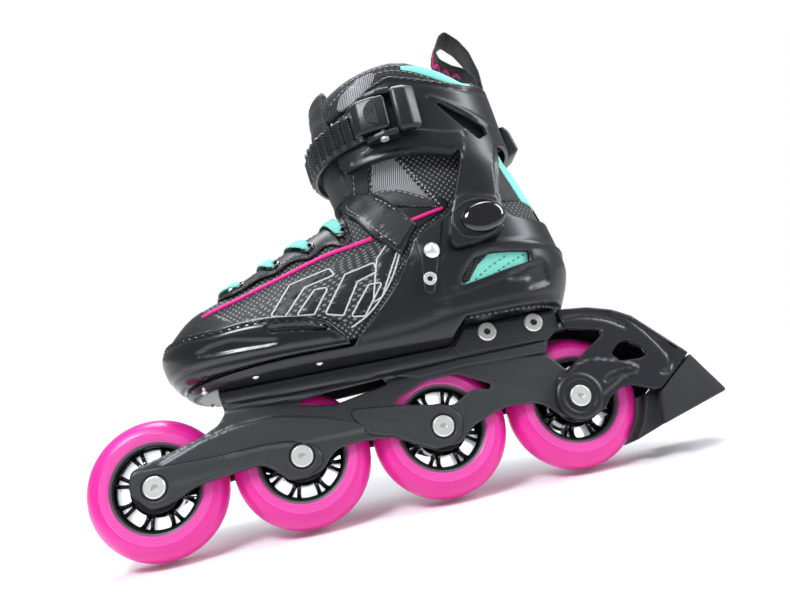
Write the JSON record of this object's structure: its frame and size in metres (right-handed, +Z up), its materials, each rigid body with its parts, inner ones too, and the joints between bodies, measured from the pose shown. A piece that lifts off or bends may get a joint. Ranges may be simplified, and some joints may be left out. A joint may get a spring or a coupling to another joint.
{
  "type": "inline skate",
  "caption": "Inline skate for the left foot: soft laced boot in a rigid shell, hinged cuff with ratchet buckle, metal frame with a row of wheels and a heel brake.",
  "frame": {"origin": "floor point under the middle of the wheelbase, between the second and third axles, in the frame's middle plane", "axes": "+X towards the heel and brake, -X towards the toe, -Y towards the outer side (buckle side), +Z up"},
  "size_m": [0.3755, 0.1154, 0.2996],
  "materials": {
    "frame_metal": "satin gunmetal grey paint",
    "bearing_steel": "polished steel",
    "spacer_aluminium": "plain",
    "bolt_steel": "zinc plated, bright",
    "shell_plastic": "satin black",
    "rand_plastic": "semi-gloss black",
    "brake_rubber": "matte charcoal",
    "black_mesh": "black air mesh",
    "insole_foam": "knit over foam",
    "black_synthetic": "grained black synthetic leather",
    "gloss_black": "gloss black",
    "turquoise_lace": "flat woven lace",
    "turquoise_fabric": "turquoise synthetic leather",
    "black_webbing": "woven webbing",
    "ladder_plastic": "ribbed satin black",
    "pink_tyre": "hot pink polyurethane"
  },
  "bodies": {
    "chassis_and_boot": {"frame": "frame_metal", "bearing_inner_rings": "bearing_steel", "wheel_spacers": "spacer_aluminium", "axle_sleeves": "bolt_steel", "axle_screws": "bolt_steel", "side_bolts": "bolt_steel", "mount_block": "spacer_aluminium", "brake_bracket": "shell_plastic", "brake_pad": "brake_rubber", "brake_pad_bolt": "bolt_steel", "shell_base": "shell_plastic", "toe_cap": "rand_plastic", "deck_screws": "bolt_steel", "deck_nuts": "bolt_steel", "sole_tacks": "bolt_steel", "strap_plates": "shell_plastic", "arm_rivets": "bolt_steel", "upper": "black_mesh", "insole": "insole_foam", "eyestay": "black_synthetic", "eyelets": "gloss_black", "lace": "turquoise_lace", "instep_strap": "black_synthetic"},
    "wheel_1": {"tyre_1": "pink_tyre", "hub_1": "gloss_black", "bearing_outer_rings_1": "bearing_steel", "bearing_balls_1": "bearing_steel"},
    "wheel_2": {"tyre_2": "pink_tyre", "hub_2": "gloss_black", "bearing_outer_rings_2": "bearing_steel", "bearing_balls_2": "bearing_steel"},
    "wheel_3": {"tyre_3": "pink_tyre", "hub_3": "gloss_black", "bearing_outer_rings_3": "bearing_steel", "bearing_balls_3": "bearing_steel"},
    "wheel_4": {"tyre_4": "pink_tyre", "hub_4": "gloss_black", "bearing_outer_rings_4": "bearing_steel", "bearing_balls_4": "bearing_steel"},
    "cuff": {"cuff": "shell_plastic", "liner_shaft": "black_mesh", "collar": "black_mesh", "tongue": "black_mesh", "back_stay": "turquoise_fabric", "pull_tab": "black_webbing", "pivot_bolts": "bolt_steel", "pivot_nuts": "bolt_steel", "pivot_caps": "gloss_black", "rear_hood": "shell_plastic", "rear_hood_screw": "bolt_steel", "buckle_base": "shell_plastic", "buckle_lever_pin": "bolt_steel", "ladder_strap": "ladder_plastic", "strap_anchor": "bolt_steel"},
    "buckle_lever": {"buckle_lever": "shell_plastic", "pawl_pin": "bolt_steel", "pawl_spring": "bearing_steel"},
    "buckle_pawl": {"buckle_pawl": "ladder_plastic"}
  },
  "joints": [
    {"name": "wheel_1_spin", "type": "hinge", "parent": "chassis_and_boot", "child": "wheel_1", "pos_m": [-0.12336, 0, 0.04], "axis": [0, 1, 0], "continuous": true},
    {"name": "wheel_2_spin", "type": "hinge", "parent": "chassis_and_boot", "child": "wheel_2", "pos_m": [-0.04112, 0, 0.04], "axis": [0, 1, 0], "continuous": true},
    {"name": "wheel_3_spin", "type": "hinge", "parent": "chassis_and_boot", "child": "wheel_3", "pos_m": [0.04112, 0, 0.04], "axis": [0, 1, 0], "continuous": true},
    {"name": "wheel_4_spin", "type": "hinge", "parent": "chassis_and_boot", "child": "wheel_4", "pos_m": [0.12336, 0, 0.04], "axis": [0, 1, 0], "continuous": true},
    {"name": "cuff_flex", "type": "hinge", "parent": "chassis_and_boot", "child": "cuff", "pos_m": [0.087, 0, 0.149], "axis": [0, -1, 0], "range_deg": [-4, 10], "stiffness_Nm_per_rad": 20},
    {"name": "buckle_lever_hinge", "type": "hinge", "parent": "cuff", "child": "buckle_lever", "pos_m": [0.04082, -0.05495, 0.2223], "axis": [0, 0, 1], "range_deg": [0, 45]},
    {"name": "buckle_pawl_release", "type": "hinge", "parent": "buckle_lever", "child": "buckle_pawl", "pos_m": [0.0364, -0.0536, 0.2223], "axis": [0, 0, 1], "range_deg": [0, 15], "stiffness_Nm_per_rad": 0.02, "springref_deg": -11.46}
  ]
}
